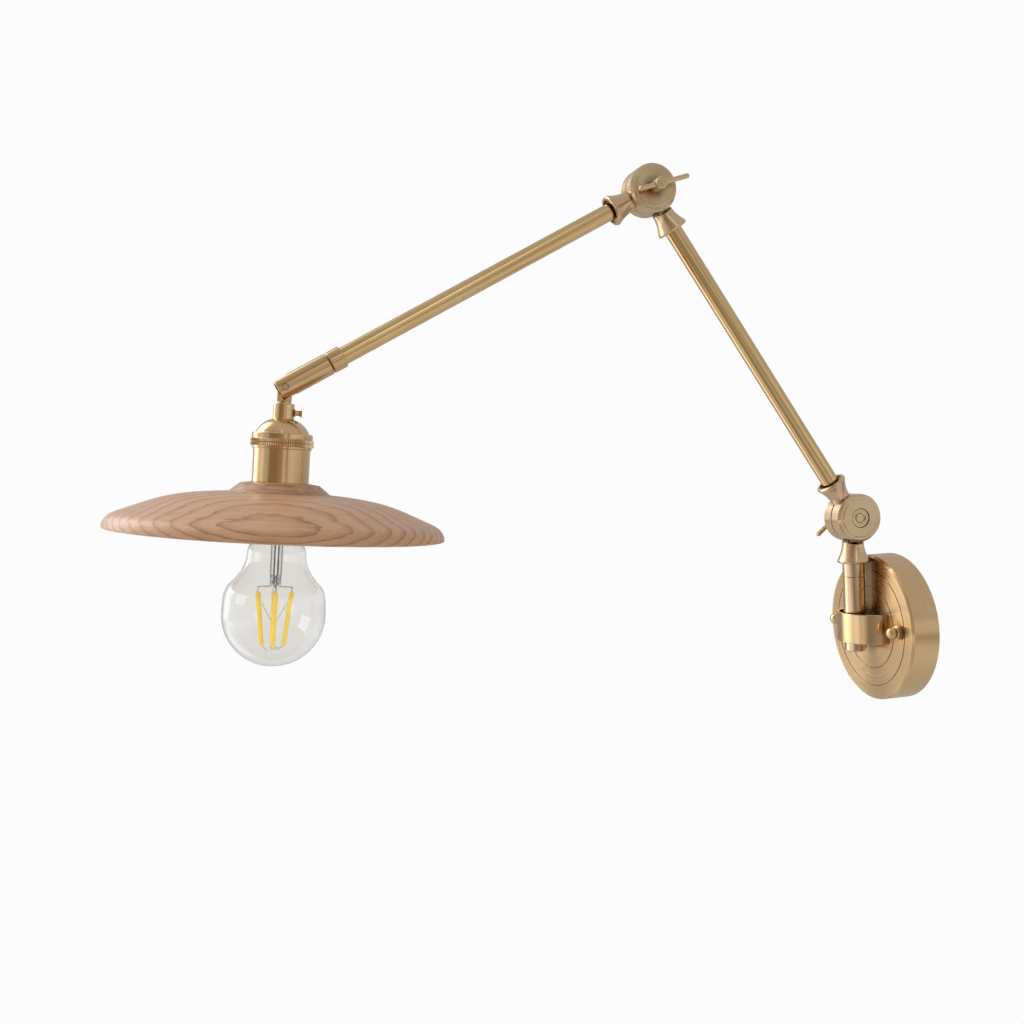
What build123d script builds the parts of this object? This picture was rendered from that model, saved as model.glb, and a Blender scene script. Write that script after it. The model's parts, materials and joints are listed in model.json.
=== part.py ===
"""Swing arm wall lamp: brass wall plate, two tube arms on split knuckle joints, turned wood shade.

Millimetres. The origin is on the wall, midway between the two slots of the fixing bar.
+Z is up and -Y points out of the wall, so the arms lie in the plane X = 0.
"""
import os
from math import cos, radians, sin, sqrt

from build123d import *

# Wall plate: a hollow turned cup, open to the wall
plate_d = 98.0
plate_depth = 19.4
plate_wall = 2.0
plate_face = 3.0
plate_bevel = 1.5
plate_drop = 1.25
groove_diameters = (55.5, 79.0)
groove_width = 0.7
groove_depth = 0.5

# Bar on the wall behind the plate, its studs and the ball nuts on them
bar_end_gap = 3.0
bar_width = 16.0
bar_thickness = 2.5
bar_wire_hole_d = 10.0
wall_slot_spacing = 40.0
wall_slot_width = 4.6
wall_slot_length = 10.0
stud_spacing = 68.4
stud_d = 5.0
stud_clearance = 0.3
nut_d = 9.6
nut_height = 3.8
nut_ball_d = 7.8
nut_ball_rise = 1.6
nut_edge = 0.6
nut_floor = 0.8
nut_neck = 0.7

# Terminal block and earth screw inside the plate
terminal_size = (22.0, 10.0, 9.0)
terminal_drop = 23.25
terminal_bore_d = 3.2
terminal_pitch = 8.0
terminal_edge = 0.8
earth_screw_offset = 10.0
screw_d = 3.0
screw_head_d = 5.6
screw_head_height = 2.0
screw_grip = 8.0

# Hoop and swivel block that carry the post
hoop_d = 43.0
hoop_thickness = 1.8
hoop_height = 19.7
hoop_edge = 0.4
block_height = 11.3
block_screw_spacing = 26.0
wire_hole_d = 6.0

# Post
post_out = 30.5
post_d = 14.4
post_bore_d = 9.2
post_drop = 16.45
post_seam_height = 34.05
post_chamfer = 0.8
seam_chamfer = 0.25
retaining_ring_d = 16.4
retaining_ring_thickness = 1.0
retaining_groove_depth = 0.9
end_plug_length = 5.0

# Split knuckles: two half discs, each with a trumpet collar on the split plane
lower_knuckle_height = 73.85
lower_knuckle_d = 32.0
upper_knuckle_d = 30.6
knuckle_thickness = 20.8
split_gap = 0.8
split_chamfer = 0.3
rim_chamfer = 1.5
rim_step = 0.5
step_inset = 3.6
washer_thickness = 0.7
washer_inset = 2.5
collar_gap = 1.9
arm_collar_neck_d = 13.0
arm_collar_lip_d = 19.4
arm_collar_reach = 29.2
post_collar_neck_d = 14.0
post_collar_lip_d = 20.8
post_collar_reach = 30.6
collar_lip_width = 1.9
collar_wire_d = 7.0
collar_recess_d = 15.2
collar_recess_depth = 2.2
collar_socket_floor = 19.6
collar_flare = 0.34
collar_lip_round = 0.8

# Clamp screws with a sliding bar for a handle
clamp_d = 6.0
clamp_head_d = 7.8
clamp_head_height = 12.6
clamp_head_edge = 1.0
clamp_bar_d = 3.1
clamp_bar_length = 34.0
clamp_bar_height = 9.6
clamp_bar_slide = 2.6
clamp_nut_d = 12.4
clamp_nut_gap = 0.3
clamp_nut_dish_d = 8.6
clamp_nut_dish = 0.6
clamp_nut_height = 3.4
clamp_nut_sink = 0.4
clamp_end_sink = 0.7
upper_bar_angle = 15.0
lower_bar_angle = 40.0

# Arms
lower_tube_d = 11.2
upper_tube_d = 10.6
tube_wall = 1.1
lower_arm_length = 255.0
lower_arm_rise = 57.26
upper_arm_reach = 263.8
upper_arm_fall = 26.81

# Twisting ferrule and tilt joint at the end of the upper arm
ferrule_d = 13.2
ferrule_length = 33.9
ferrule_ring_length = 8.7
ferrule_gap = 0.5
ferrule_edge = 0.4
stud_spigot_length = 14.0
journal_d = 7.6
journal_length = 12.0
journal_head_height = 3.0
ferrule_chamber_d = 10.6
tilt_setback = 4.4
tilt_pin_d = 4.0
tongue_thickness = 4.8
tongue_width = 8.2
tongue_side_clearance = 0.2
tongue_clearance = 0.15
tongue_stem_d = 7.8
tongue_stem_inset = 3.0

# Lamp holder, from the top down
head_tilt = 5.9
tongue_show = 1.2
cap_neck_d = 12.2
cap_neck_length = 9.1
cap_dome_d = 31.0
cap_dome_height = 8.5
cap_dome_bulge = (0.6, 0.37)
cap_skirt_d = 35.0
cap_skirt_height = 3.4
cap_wall = 1.0
knurl_d = 36.6
knurl_depth = 0.7
knurl_ribs = 84
knurl_height = 4.3
knurl_edge = 0.5
knurl_waist = 0.8
shell_d = 32.8
shell_wall = 1.0
shell_entry = 1.8
shell_length = 20.9
shell_bead_d = 34.2
shell_bead_height = 1.5
shell_lip = 1.05
core_height = 14.0
core_setback = 6.2
core_ledge = 1.7
core_edge = 1.0
skirt_flange_height = 2.8
skirt_wall = 1.2
skirt_drop = 22.7
thread_wall = 0.55
thread_setback = 4.0
contact_height = 9.2
contact_strip = 0.7
contact_width = 5.0
holder_screw_drop = 5.2
holder_screw_d = 3.0
holder_screw_flange_d = 4.8
holder_screw_head_d = 6.2
holder_screw_length = 4.2

# Turned wood shade
shade_d = 195.6
shade_hub_d = 45.8
shade_hub_crown = 1.0
shade_step_d = 58.6
shade_step_height = 6.2
shade_brim_drop = 29.0
shade_shoulder_share = 0.67
shade_shoulder_drop = 11.3
shade_haunch_share = 0.895
shade_haunch_drop = 19.5
shade_thickness = 7.0
shade_lip_radius = 1.0
shade_ring_d = 43.0
shade_ring_height = 5.5
shade_ring_notches = 6
shade_ring_notch = 4.0

# Clear filament bulb with a 27 mm screw cap
bulb_d = 60.0
bulb_length = 105.0
bulb_neck_d = 33.2
bulb_neck_rise = 10.4
bulb_throat = (0.9, 17.4)
bulb_shoulder = (0.815, 0.655)
bulb_wall = 0.8
bulb_cap_d = 26.4
bulb_cap_length = 20.0
bulb_cap_wall = 0.6
bulb_cap_threads = 4
bulb_thread_depth = 0.7
bulb_thread_end = 1.0
bulb_cap_band = 3.0
bulb_insulator_height = 4.0
bulb_contact_d = 9.5
bulb_contact_height = 1.5
stem_d = 7.0
stem_length = 28.2
stem_flare_bend = (2.2, 5.0)
stem_flare_length = 12.0
stem_pinch_width = 6.6
stem_pinch_thickness = 3.2
stem_pinch_length = 6.0
stem_rod_d = 2.4
stem_rod_length = 38.0
filament_d = 2.3
filament_drop = 3.8
filament_length = 31.5
filament_top_d = 19.4
filament_bottom_d = 12.8
filament_count = 4
filament_wire_d = 0.8
filament_tab = 2.6
filament_link_drop = 2.6
hook_wire_d = 0.5
hook_height = 17.0
hook_share = 0.2
glass_entry = 2.0
glass_seat = 2.5

# Fits, and how far a cutter passes the faces that it opens
fit = 0.05
slip = 0.3
through_cut = 1.0

# Places that follow from the sizes above
plate_r = plate_d / 2
lower_tube_r = lower_tube_d / 2
upper_tube_r = upper_tube_d / 2
half_thickness = knuckle_thickness / 2
hoop_r = hoop_d / 2
hoop_inner_r = hoop_r - hoop_thickness
lower_knuckle = Vector(0, -post_out, lower_knuckle_height)
lower_arm_way = Vector(0, -cos(radians(lower_arm_rise)), sin(radians(lower_arm_rise)))
upper_knuckle = lower_knuckle + lower_arm_way * lower_arm_length
upper_arm_way = Vector(0, -cos(radians(upper_arm_fall)), -sin(radians(upper_arm_fall)))
tilt_station = upper_arm_reach - tilt_setback
tilt_point = upper_knuckle + upper_arm_way * tilt_station
lamp_way = Vector(0, -sin(radians(head_tilt)), -cos(radians(head_tilt)))
hinge_way = Vector(1, 0, 0)

# Stations along the upper arm from its knuckle
ferrule_start = upper_arm_reach - ferrule_length
ring_end = ferrule_start - ferrule_gap

# Stations down the lamp axis from the tilt pin
tongue_neck = sqrt((ferrule_d / 2) ** 2 + tilt_setback ** 2) + tongue_clearance
cap_top = tongue_neck + tongue_show
cap_neck_end = cap_top + cap_neck_length
cap_dome_end = cap_neck_end + cap_dome_height
cap_skirt_end = cap_dome_end + cap_skirt_height
knurl_end = cap_skirt_end + knurl_height
shell_top = cap_skirt_end - shell_entry
shell_end = knurl_end + shell_length
core_end = shell_end - core_setback
skirt_end = shell_end + skirt_drop
holder_screw_height = cap_top + holder_screw_drop
shade_floor = shell_end + shade_step_height + shade_thickness
bulb_tip = core_end + contact_height
cap_rim = bulb_tip + bulb_contact_height + bulb_insulator_height + bulb_cap_length
bulb_centre = bulb_tip + bulb_length - bulb_d / 2
stem_base = cap_rim - glass_entry
stem_pinch = stem_base + stem_length
stem_pinch_end = stem_pinch + stem_pinch_length
stem_rod_end = stem_pinch_end + stem_rod_length
filament_top = stem_pinch_end + filament_drop

# Working planes: local Z runs out of the wall, along each arm and down the lamp axis
wall = Plane(origin=(0, 0, 0), x_dir=hinge_way, z_dir=(0, -1, 0))
post_axis = Pos(0, -post_out, 0)
lower_arm = Plane(origin=lower_knuckle, x_dir=hinge_way, z_dir=lower_arm_way)
upper_arm = Plane(origin=upper_knuckle, x_dir=hinge_way, z_dir=upper_arm_way)
lamp = Plane(origin=tilt_point, x_dir=hinge_way, z_dir=lamp_way)


def hinge_plane(centre, way, axis=hinge_way):
    """Plane at a knuckle: local X runs along the collar and local Z along the hinge."""
    return Plane(origin=centre, x_dir=way, z_dir=axis)


def turned(*corners):
    """Solid turned about local Z from (radius, height) corners, each with an optional fillet."""
    points = [corner[:2] for corner in corners]
    fillets = [corner[2] if len(corner) == 3 else 0 for corner in corners]
    profile = make_face(FilletPolyline(*points, radius=fillets, close=True))
    return revolve(Plane.XZ * profile, Axis.Z)


def turned_from(*edges):
    """Solid turned about local Z from a closed run of edges drawn as radius and height."""
    return revolve(Plane.XZ * make_face(edges), Axis.Z)


def ring(outer_d, inner_d, low, high):
    """Plain round tube between two heights."""
    outer, inner = outer_d / 2, inner_d / 2
    return turned((inner, low), (outer, low), (outer, high), (inner, high))


def rod(diameter, low, high, edge=0):
    """Round bar between two heights, with a chamfer at both ends."""
    radius = diameter / 2
    if edge == 0:
        return turned((0, low), (radius, low), (radius, high), (0, high))
    return turned(
        (0, low), (radius - edge, low), (radius, low + edge),
        (radius, high - edge), (radius - edge, high), (0, high),
    )


def sideways(shape, station):
    """Turn a local Z solid so that it runs along local X at a height."""
    return Pos(0, 0, station) * Rot(0, 90, 0) * shape


def mirrored_pair(shape):
    """A solid and its mirror image across the plane X = 0."""
    return Compound([shape, mirror(shape, Plane.YZ)])


def save(name, shape):
    """Write one piece as its own file."""
    export_step(shape, f"parts/{name}.step")


# Wall bracket


def wall_plate():
    inner_r = plate_r - plate_wall
    inner_face = plate_depth - plate_face
    cup = turned(
        (inner_r, 0), (plate_r, 0), (plate_r, plate_depth - plate_bevel),
        (plate_r - plate_bevel, plate_depth), (0, plate_depth), (0, inner_face), (inner_r, inner_face),
    )
    through = plate_depth + through_cut
    for diameter in groove_diameters:
        cup -= ring(diameter + groove_width, diameter - groove_width, plate_depth - groove_depth, through)
    cup = Pos(0, -plate_drop, 0) * cup
    for side in (-1, 1):
        cup -= Pos(side * stud_spacing / 2, 0, 0) * rod(stud_d + 2 * stud_clearance, 0, through)
        cup -= Pos(side * block_screw_spacing / 2, 0, 0) * rod(screw_d + 2 * fit, 0, through)
    return wall * (cup - rod(wire_hole_d, 0, through))


def mounting_bar():
    bar_length = plate_d - 2 * (plate_wall + bar_end_gap)
    bar = Pos(0, 0, bar_thickness / 2) * Box(bar_length, bar_width, bar_thickness)
    bar = fillet(bar.edges().filter_by(Axis.Z), bar_width / 4)
    bar -= rod(bar_wire_hole_d, -through_cut, bar_thickness + through_cut)
    slot = extrude(SlotOverall(wall_slot_length, wall_slot_width), bar_thickness + 2 * through_cut)
    for side in (-1, 1):
        bar -= Pos(side * wall_slot_spacing / 2, 0, -through_cut) * slot
        stud_hole = rod(stud_d + 2 * fit, -through_cut, bar_thickness + through_cut)
        bar -= Pos(side * stud_spacing / 2, 0, 0) * stud_hole
    earth_hole = rod(screw_d + 2 * fit, -through_cut, bar_thickness + through_cut)
    bar -= Pos(earth_screw_offset, 0, 0) * earth_hole
    return wall * bar


def mounting_studs():
    stud = rod(stud_d, 0, plate_depth + nut_height - nut_floor - fit, nut_edge)
    return wall * mirrored_pair(Pos(stud_spacing / 2, 0, 0) * stud)


def cap_nuts():
    bore_r = stud_d / 2 + fit
    body = turned(
        (bore_r, 0), (nut_d / 2, 0), (nut_d / 2, nut_height - nut_edge),
        (nut_d / 2 - nut_edge, nut_height), (0, nut_height), (0, nut_height - nut_floor),
        (bore_r, nut_height - nut_floor),
    )
    ball = Pos(0, 0, nut_height + nut_ball_rise) * Sphere(nut_ball_d / 2)
    neck = rod(nut_ball_d * nut_neck, nut_height - nut_floor, nut_height + nut_ball_rise)
    keep = rod(nut_d, nut_height - nut_floor, nut_height + nut_ball_d + nut_ball_rise)
    nut = body + neck + (ball & keep)
    return wall * mirrored_pair(Pos(stud_spacing / 2, 0, plate_depth) * nut)


def terminal_block():
    width, height, depth = terminal_size
    seat = plate_depth - plate_face
    block = Pos(0, -terminal_drop, seat - depth / 2) * Box(width, height, depth)
    block = chamfer(block.edges().filter_by(Axis.Z), terminal_edge)
    for side in (-1, 1):
        way_in = Rot(90, 0, 0) * rod(terminal_bore_d, -height, height)
        block -= Pos(side * terminal_pitch / 2, -terminal_drop, seat - depth / 2) * way_in
        screw_way = rod(terminal_bore_d, seat - depth - 1, seat - depth / 2)
        block -= Pos(side * terminal_pitch / 2, -terminal_drop, 0) * screw_way
    return wall * block


def pan_screw(grip):
    """Screw standing on local Z = 0 with its head below and its thread above."""
    head_r = screw_head_d / 2
    shank_r = screw_d / 2
    screw = turned(
        (0, -screw_head_height), (head_r, -screw_head_height, screw_head_height / 2), (head_r, 0),
        (shank_r, 0), (shank_r, grip), (0, grip),
    )
    return screw - Pos(0, 0, -screw_head_height) * Box(head_r * 2, screw_d / 4, screw_head_height)


def earth_screw():
    screw = Rot(180, 0, 0) * pan_screw(bar_thickness)
    return wall * Pos(earth_screw_offset, 0, bar_thickness) * screw


def swivel_hoop():
    strip = RectangleRounded(hoop_thickness, hoop_height, hoop_edge)
    section = Pos(hoop_r - hoop_thickness / 2, 0) * strip
    half_ring = revolve(Plane.XZ * section, Axis.Z, revolution_arc=180)
    return Pos(0, -plate_depth, 0) * Rot(0, 0, 180) * half_ring


def swivel_block():
    section = Pos((hoop_inner_r - fit) / 2, 0) * Rectangle(hoop_inner_r - fit, block_height)
    half_disc = revolve(Plane.XZ * section, Axis.Z, revolution_arc=180)
    block = Pos(0, -plate_depth, 0) * Rot(0, 0, 180) * half_disc
    block -= post_axis * rod(post_d + 2 * fit, -block_height, block_height)
    for side in (-1, 1):
        screw_hole = rod(screw_d + 2 * fit, 0, plate_depth + screw_grip - plate_face + fit)
        block -= wall * Pos(side * block_screw_spacing / 2, 0, 0) * screw_hole
    return block - wall * rod(wire_hole_d, 0, post_out)


def block_screws():
    screw = Pos(block_screw_spacing / 2, 0, plate_depth - plate_face) * pan_screw(screw_grip)
    return wall * mirrored_pair(screw)


# Post


def ring_heights():
    """Lower faces of the two retaining rings, just clear of the swivel block."""
    top = block_height / 2 + fit
    bottom = -top - retaining_ring_thickness
    return bottom, top


def post_tube():
    bore_r = post_bore_d / 2
    body_r = post_d / 2
    spigot_top = lower_knuckle_height - collar_socket_floor - fit
    tube = turned(
        (bore_r, -post_drop), (body_r - post_chamfer, -post_drop), (body_r, post_chamfer - post_drop),
        (body_r, post_seam_height - seam_chamfer), (body_r - seam_chamfer, post_seam_height),
        (lower_tube_r, post_seam_height), (lower_tube_r, spigot_top), (bore_r, spigot_top),
    )
    for height in ring_heights():
        groove = (post_d + 1, post_d - 2 * retaining_groove_depth)
        tube -= ring(*groove, height - fit, height + retaining_ring_thickness + fit)
    window = Pos(0, post_d / 2, 0) * Box(wire_hole_d, post_d, wire_hole_d)
    return post_axis * (tube - window)


def post_sleeve():
    body_r = post_d / 2
    bore_r = lower_tube_r + fit
    top = lower_knuckle_height - post_collar_reach + collar_recess_depth - fit
    return post_axis * turned(
        (bore_r, post_seam_height), (body_r - seam_chamfer, post_seam_height),
        (body_r, post_seam_height + seam_chamfer), (body_r, top), (bore_r, top),
    )


def post_retaining_rings():
    inner_d = post_d - 2 * retaining_groove_depth + 2 * fit
    mouth = Box(inner_d / 3, retaining_ring_d, post_drop + lower_knuckle_height)
    gap = Pos(0, -retaining_ring_d / 2, 0) * mouth
    rings = [
        post_axis * (ring(retaining_ring_d, inner_d, low, low + retaining_ring_thickness) - gap)
        for low in ring_heights()
    ]
    return Compound(rings)


def post_end_plug():
    low = seam_chamfer - post_drop
    return post_axis * rod(post_bore_d - 2 * fit, low, low + end_plug_length, seam_chamfer)


# Split knuckles


def knuckle_disc(disc_d, nut_pocket):
    """Half disc above the split plane, with the pocket for a round nut in its outer face."""
    bore_r = clamp_d / 2 + fit
    disc_r = disc_d / 2
    step_r = disc_r - step_inset
    base = split_gap / 2
    rim_face = half_thickness - rim_step
    disc = turned(
        (bore_r, base), (disc_r - split_chamfer, base), (disc_r, base + split_chamfer),
        (disc_r, rim_face - rim_chamfer), (disc_r - rim_chamfer, rim_face),
        (step_r + rim_step, rim_face), (step_r, half_thickness), (bore_r, half_thickness),
    )
    if nut_pocket:
        pocket_floor = half_thickness - clamp_nut_sink - clamp_nut_height
        disc -= rod(clamp_nut_d + 2 * clamp_nut_gap, pocket_floor, half_thickness + through_cut)
    return disc


def trumpet_collar(disc_d, neck_d, lip_d, reach, tube_d):
    """Collar along local Z: a neck that flares to a rounded lip, bored for the tube."""
    neck_r = neck_d / 2
    lip_r = lip_d / 2
    lip_low = reach - collar_lip_width
    lip_end = (lip_r - collar_lip_round, reach)
    recess_r = collar_recess_d / 2
    recess_low = reach - collar_recess_depth
    socket_r = tube_d / 2 + fit
    neck_end = disc_d / 2 + collar_gap
    flare_mid = (neck_r + (lip_r - neck_r) * collar_flare, (neck_end + lip_low) / 2)
    root = disc_d / 4
    return turned_from(
        Line((0, root), (neck_r, root)),
        Line((neck_r, root), (neck_r, neck_end)),
        ThreePointArc((neck_r, neck_end), flare_mid, (lip_r, lip_low)),
        ThreePointArc((lip_r, lip_low), (lip_r, reach - collar_lip_round), lip_end),
        Line(lip_end, (recess_r, reach)),
        Line((recess_r, reach), (recess_r, recess_low)),
        Line((recess_r, recess_low), (socket_r, recess_low)),
        Line((socket_r, recess_low), (socket_r, collar_socket_floor)),
        Line((socket_r, collar_socket_floor), (0, collar_socket_floor)),
        Line((0, collar_socket_floor), (0, root)),
    )


def knuckle_half(disc_d, collar, nut_pocket):
    """Half disc and its own collar, cut clear of the other half's disc, with a way for the wires."""
    neck = Rot(0, 90, 0) * trumpet_collar(disc_d, *collar)
    clear_of_other = rod(disc_d + 2 * collar_gap, -knuckle_thickness, split_gap / 2)
    half = knuckle_disc(disc_d, nut_pocket) + (neck - clear_of_other)
    half -= rod(clamp_d + 2 * fit, 0, knuckle_thickness)
    return half - Rot(0, 90, 0) * rod(collar_wire_d, 0, collar_socket_floor + through_cut)


def friction_washer(disc_d):
    outer_d = disc_d - 2 * washer_inset
    return ring(outer_d, clamp_d + 2 * fit, -washer_thickness / 2, washer_thickness / 2)


def knuckle_nut():
    """Round nut with a dished face, seen as a ring around the screw's end."""
    high = half_thickness - clamp_nut_sink
    low = high - clamp_nut_height
    outer = clamp_nut_d / 2
    bore = clamp_d / 2 + fit
    return turned(
        (bore, low), (outer, low), (outer, high - seam_chamfer), (outer - seam_chamfer, high),
        (clamp_nut_dish_d / 2, high), (bore, high - clamp_nut_dish),
    )


def clamp_screw():
    """Screw whose head stands on the face at +Z and whose end reaches the nut at -Z."""
    head_low = half_thickness + fit
    head_high = half_thickness + clamp_head_height
    end = clamp_end_sink - half_thickness
    screw = turned(
        (0, end), (clamp_d / 2 - seam_chamfer, end), (clamp_d / 2, end + seam_chamfer),
        (clamp_d / 2, head_low), (clamp_head_d / 2, head_low),
        (clamp_head_d / 2, head_high, clamp_head_edge), (0, head_high),
    )
    bar_hole = rod(clamp_bar_d + 2 * fit, -clamp_head_d, clamp_head_d)
    return screw - sideways(bar_hole, half_thickness + clamp_bar_height)


def clamp_bar():
    low = clamp_bar_slide - clamp_bar_length / 2
    high = clamp_bar_slide + clamp_bar_length / 2
    end_edge = clamp_bar_d / 4
    return sideways(rod(clamp_bar_d, low, high, end_edge), half_thickness + clamp_bar_height)


# Arms and ferrule


def arm_tube(diameter, low, high):
    return ring(diameter, diameter - 2 * tube_wall, low, high)


def lower_arm_tube():
    end = collar_socket_floor + fit
    return lower_arm * arm_tube(lower_tube_d, end, lower_arm_length - end)


def upper_arm_tube():
    return upper_arm * arm_tube(upper_tube_d, collar_socket_floor + fit, ring_end - fit)


def ferrule_ring():
    outer = ferrule_d / 2
    bore = upper_tube_r + fit
    low = ring_end - ferrule_ring_length
    return upper_arm * turned(
        (bore, low), (outer - ferrule_edge, low), (outer, low + ferrule_edge),
        (outer, ring_end - ferrule_edge), (outer - ferrule_edge, ring_end), (bore, ring_end),
    )


def ferrule_stud():
    """Stud in the tube's end whose headed journal carries the twisting ferrule."""
    spigot_r = upper_tube_r - tube_wall - fit
    journal_r = journal_d / 2
    head_r = ferrule_chamber_d / 2 - fit
    head_low = ferrule_start + journal_length
    return upper_arm * turned(
        (0, ring_end - stud_spigot_length), (spigot_r, ring_end - stud_spigot_length), (spigot_r, ring_end),
        (journal_r, ring_end), (journal_r, head_low), (head_r, head_low),
        (head_r, head_low + journal_head_height), (0, head_low + journal_head_height),
    )


def ferrule_sleeve():
    outer = ferrule_d / 2
    journal_r = journal_d / 2 + fit
    chamber_r = ferrule_chamber_d / 2
    shoulder = ferrule_start + journal_length - fit
    end = upper_arm_reach
    sleeve = turned(
        (journal_r, ferrule_start), (outer - ferrule_edge, ferrule_start),
        (outer, ferrule_start + ferrule_edge), (outer, end - ferrule_edge), (outer - ferrule_edge, end),
        (chamber_r, end), (chamber_r, shoulder), (journal_r, shoulder),
    )
    slot_width = tongue_thickness + 2 * tongue_side_clearance
    slot_floor = tilt_station - tongue_width / 2 - tongue_side_clearance
    slot_height = upper_arm_reach - slot_floor + 1
    sleeve -= Pos(0, 0, slot_floor + slot_height / 2) * Box(slot_width, ferrule_d + 1, slot_height)
    sleeve -= sideways(rod(tilt_pin_d + 2 * fit, -ferrule_d, ferrule_d), tilt_station)
    return upper_arm * sleeve


def tilt_pin():
    half = sqrt((ferrule_d / 2) ** 2 - (tilt_pin_d / 2) ** 2)
    return upper_arm * sideways(rod(tilt_pin_d, -half, half, seam_chamfer), tilt_station)


# Lamp holder


def tilt_tongue():
    flat = Pos(0, 0, tongue_neck / 2) * Box(tongue_thickness, tongue_width, tongue_neck)
    eye = sideways(rod(tongue_width, -tongue_thickness / 2, tongue_thickness / 2), 0)
    stem = rod(tongue_stem_d, tongue_neck, cap_neck_end + tongue_stem_inset, seam_chamfer)
    pin_hole = sideways(rod(tilt_pin_d + 2 * fit, -tongue_thickness, tongue_thickness), 0)
    return lamp * (flat + eye + stem - pin_hole)


def holder_cap():
    bore = tongue_stem_d / 2 + fit
    neck = cap_neck_d / 2
    dome = cap_dome_d / 2
    skirt = cap_skirt_d / 2
    mid_r = neck + (dome - neck) * cap_dome_bulge[0]
    mid_z = cap_neck_end + cap_dome_height * cap_dome_bulge[1]
    shell_r = shell_d / 2 + fit
    cap = turned_from(
        Line((bore, cap_top), (neck - ferrule_edge, cap_top)),
        Line((neck - ferrule_edge, cap_top), (neck, cap_top + ferrule_edge)),
        Line((neck, cap_top + ferrule_edge), (neck, cap_neck_end)),
        ThreePointArc((neck, cap_neck_end), (mid_r, mid_z), (dome, cap_dome_end)),
        Line((dome, cap_dome_end), (skirt - ferrule_edge, cap_dome_end)),
        Line((skirt - ferrule_edge, cap_dome_end), (skirt, cap_dome_end + ferrule_edge)),
        Line((skirt, cap_dome_end + ferrule_edge), (skirt, cap_skirt_end)),
        Line((skirt, cap_skirt_end), (shell_r, cap_skirt_end)),
        Line((shell_r, cap_skirt_end), (shell_r, shell_top - fit)),
        Line((shell_r, shell_top - fit), (dome - cap_wall, shell_top - fit)),
        Line((dome - cap_wall, shell_top - fit), (dome - cap_wall, cap_dome_end)),
        ThreePointArc(
            (dome - cap_wall, cap_dome_end), (mid_r - cap_wall, mid_z + cap_wall),
            (neck - cap_wall, cap_neck_end + cap_wall),
        ),
        Line((neck - cap_wall, cap_neck_end + cap_wall), (bore, cap_neck_end + cap_wall)),
        Line((bore, cap_neck_end + cap_wall), (bore, cap_top)),
    )
    hole = Pos(0, 0, holder_screw_height) * Rot(90, 0, 0) * rod(holder_screw_d + 2 * fit, 0, cap_neck_d)
    return lamp * (cap - hole)


def knurled_ring():
    crest = knurl_d / 2
    root = crest - knurl_depth
    step = radians(180 / knurl_ribs)
    points = []
    for index in range(2 * knurl_ribs):
        reach = crest if index % 2 else root
        points.append((reach * cos(index * step), reach * sin(index * step)))
    height = knurl_end - cap_skirt_end
    ribs = Pos(0, 0, cap_skirt_end) * extrude(make_face(Polyline(*points, close=True)), height)
    middle = (cap_skirt_end + knurl_end) / 2
    limit = turned(
        (shell_d / 2 + fit, cap_skirt_end), (crest - knurl_edge, cap_skirt_end),
        (crest, cap_skirt_end + knurl_edge), (crest, middle - knurl_waist / 2), (root, middle),
        (crest, middle + knurl_waist / 2), (crest, knurl_end - knurl_edge),
        (crest - knurl_edge, knurl_end), (shell_d / 2 + fit, knurl_end),
    )
    return lamp * (ribs & limit)


def socket_shell():
    outer = shell_d / 2
    inner = outer - shell_wall
    bead = shell_bead_d / 2
    bead_end = knurl_end + shell_bead_height
    lip_r = outer - shell_lip
    return lamp * turned(
        (inner, shell_top), (outer, shell_top), (outer, knurl_end), (bead, knurl_end),
        (bead, bead_end, shell_bead_height / 3), (outer, bead_end), (outer, shell_end), (lip_r, shell_end),
        (lip_r, shell_end - shell_wall), (inner, shell_end - shell_wall),
    )


def skirt_radius():
    """Outer radius of the threaded skirt, which passes the lip of the shell."""
    return shell_d / 2 - shell_lip - fit


def socket_core():
    outer = shell_d / 2 - shell_wall - fit
    ledge = outer - core_ledge
    return lamp * turned(
        (0, core_end - core_height), (outer, core_end - core_height, core_edge),
        (outer, core_end - core_ledge), (ledge, core_end - core_ledge), (ledge, core_end), (0, core_end),
    )


def socket_skirt():
    outer = skirt_radius()
    inner = outer - skirt_wall
    flange = shell_d / 2 - shell_wall - fit
    seat = shell_end - shell_wall
    return lamp * turned(
        (inner, seat - skirt_flange_height), (flange, seat - skirt_flange_height), (flange, seat),
        (outer, seat), (outer, skirt_end), (inner, skirt_end),
    )


def thread_shell():
    outer = skirt_radius() - skirt_wall - fit
    return lamp * ring(2 * outer, 2 * (outer - thread_wall), core_end, skirt_end - thread_setback)


def centre_contact():
    """Bent strip from the core to the bulb's contact."""
    tip = bulb_tip - fit
    foot = bulb_cap_d / 3
    strip = Polyline(
        (-foot, core_end), (0, core_end), (foot / 2, tip - contact_strip), (foot / 2, tip),
        (-foot / 8, tip), (-foot / 3, core_end + contact_strip), (-foot, core_end + contact_strip),
        close=True,
    )
    return lamp * Pos(0, contact_width / 2, 0) * extrude(Plane.XZ * make_face(strip), contact_width)


def holder_screw():
    """Thumb screw in the cap's neck on the wall side, gripping the tongue's stem."""
    tip = tongue_stem_d / 2 + fit
    face = cap_neck_d / 2 + fit
    reach = face + holder_screw_length
    shank = holder_screw_d / 2
    flange = holder_screw_flange_d / 2
    head = holder_screw_head_d / 2
    waist_mid = (face + reach) / 2
    screw = turned_from(
        Line((0, tip), (shank, tip)),
        Line((shank, tip), (shank, face)),
        Line((shank, face), (flange, face)),
        ThreePointArc((flange, face), (shank, waist_mid), (head, reach)),
        Line((head, reach), (0, reach + seam_chamfer)),
        Line((0, reach + seam_chamfer), (0, tip)),
    )
    return lamp * Pos(0, 0, holder_screw_height) * Rot(90, 0, 0) * screw


# Shade


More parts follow.
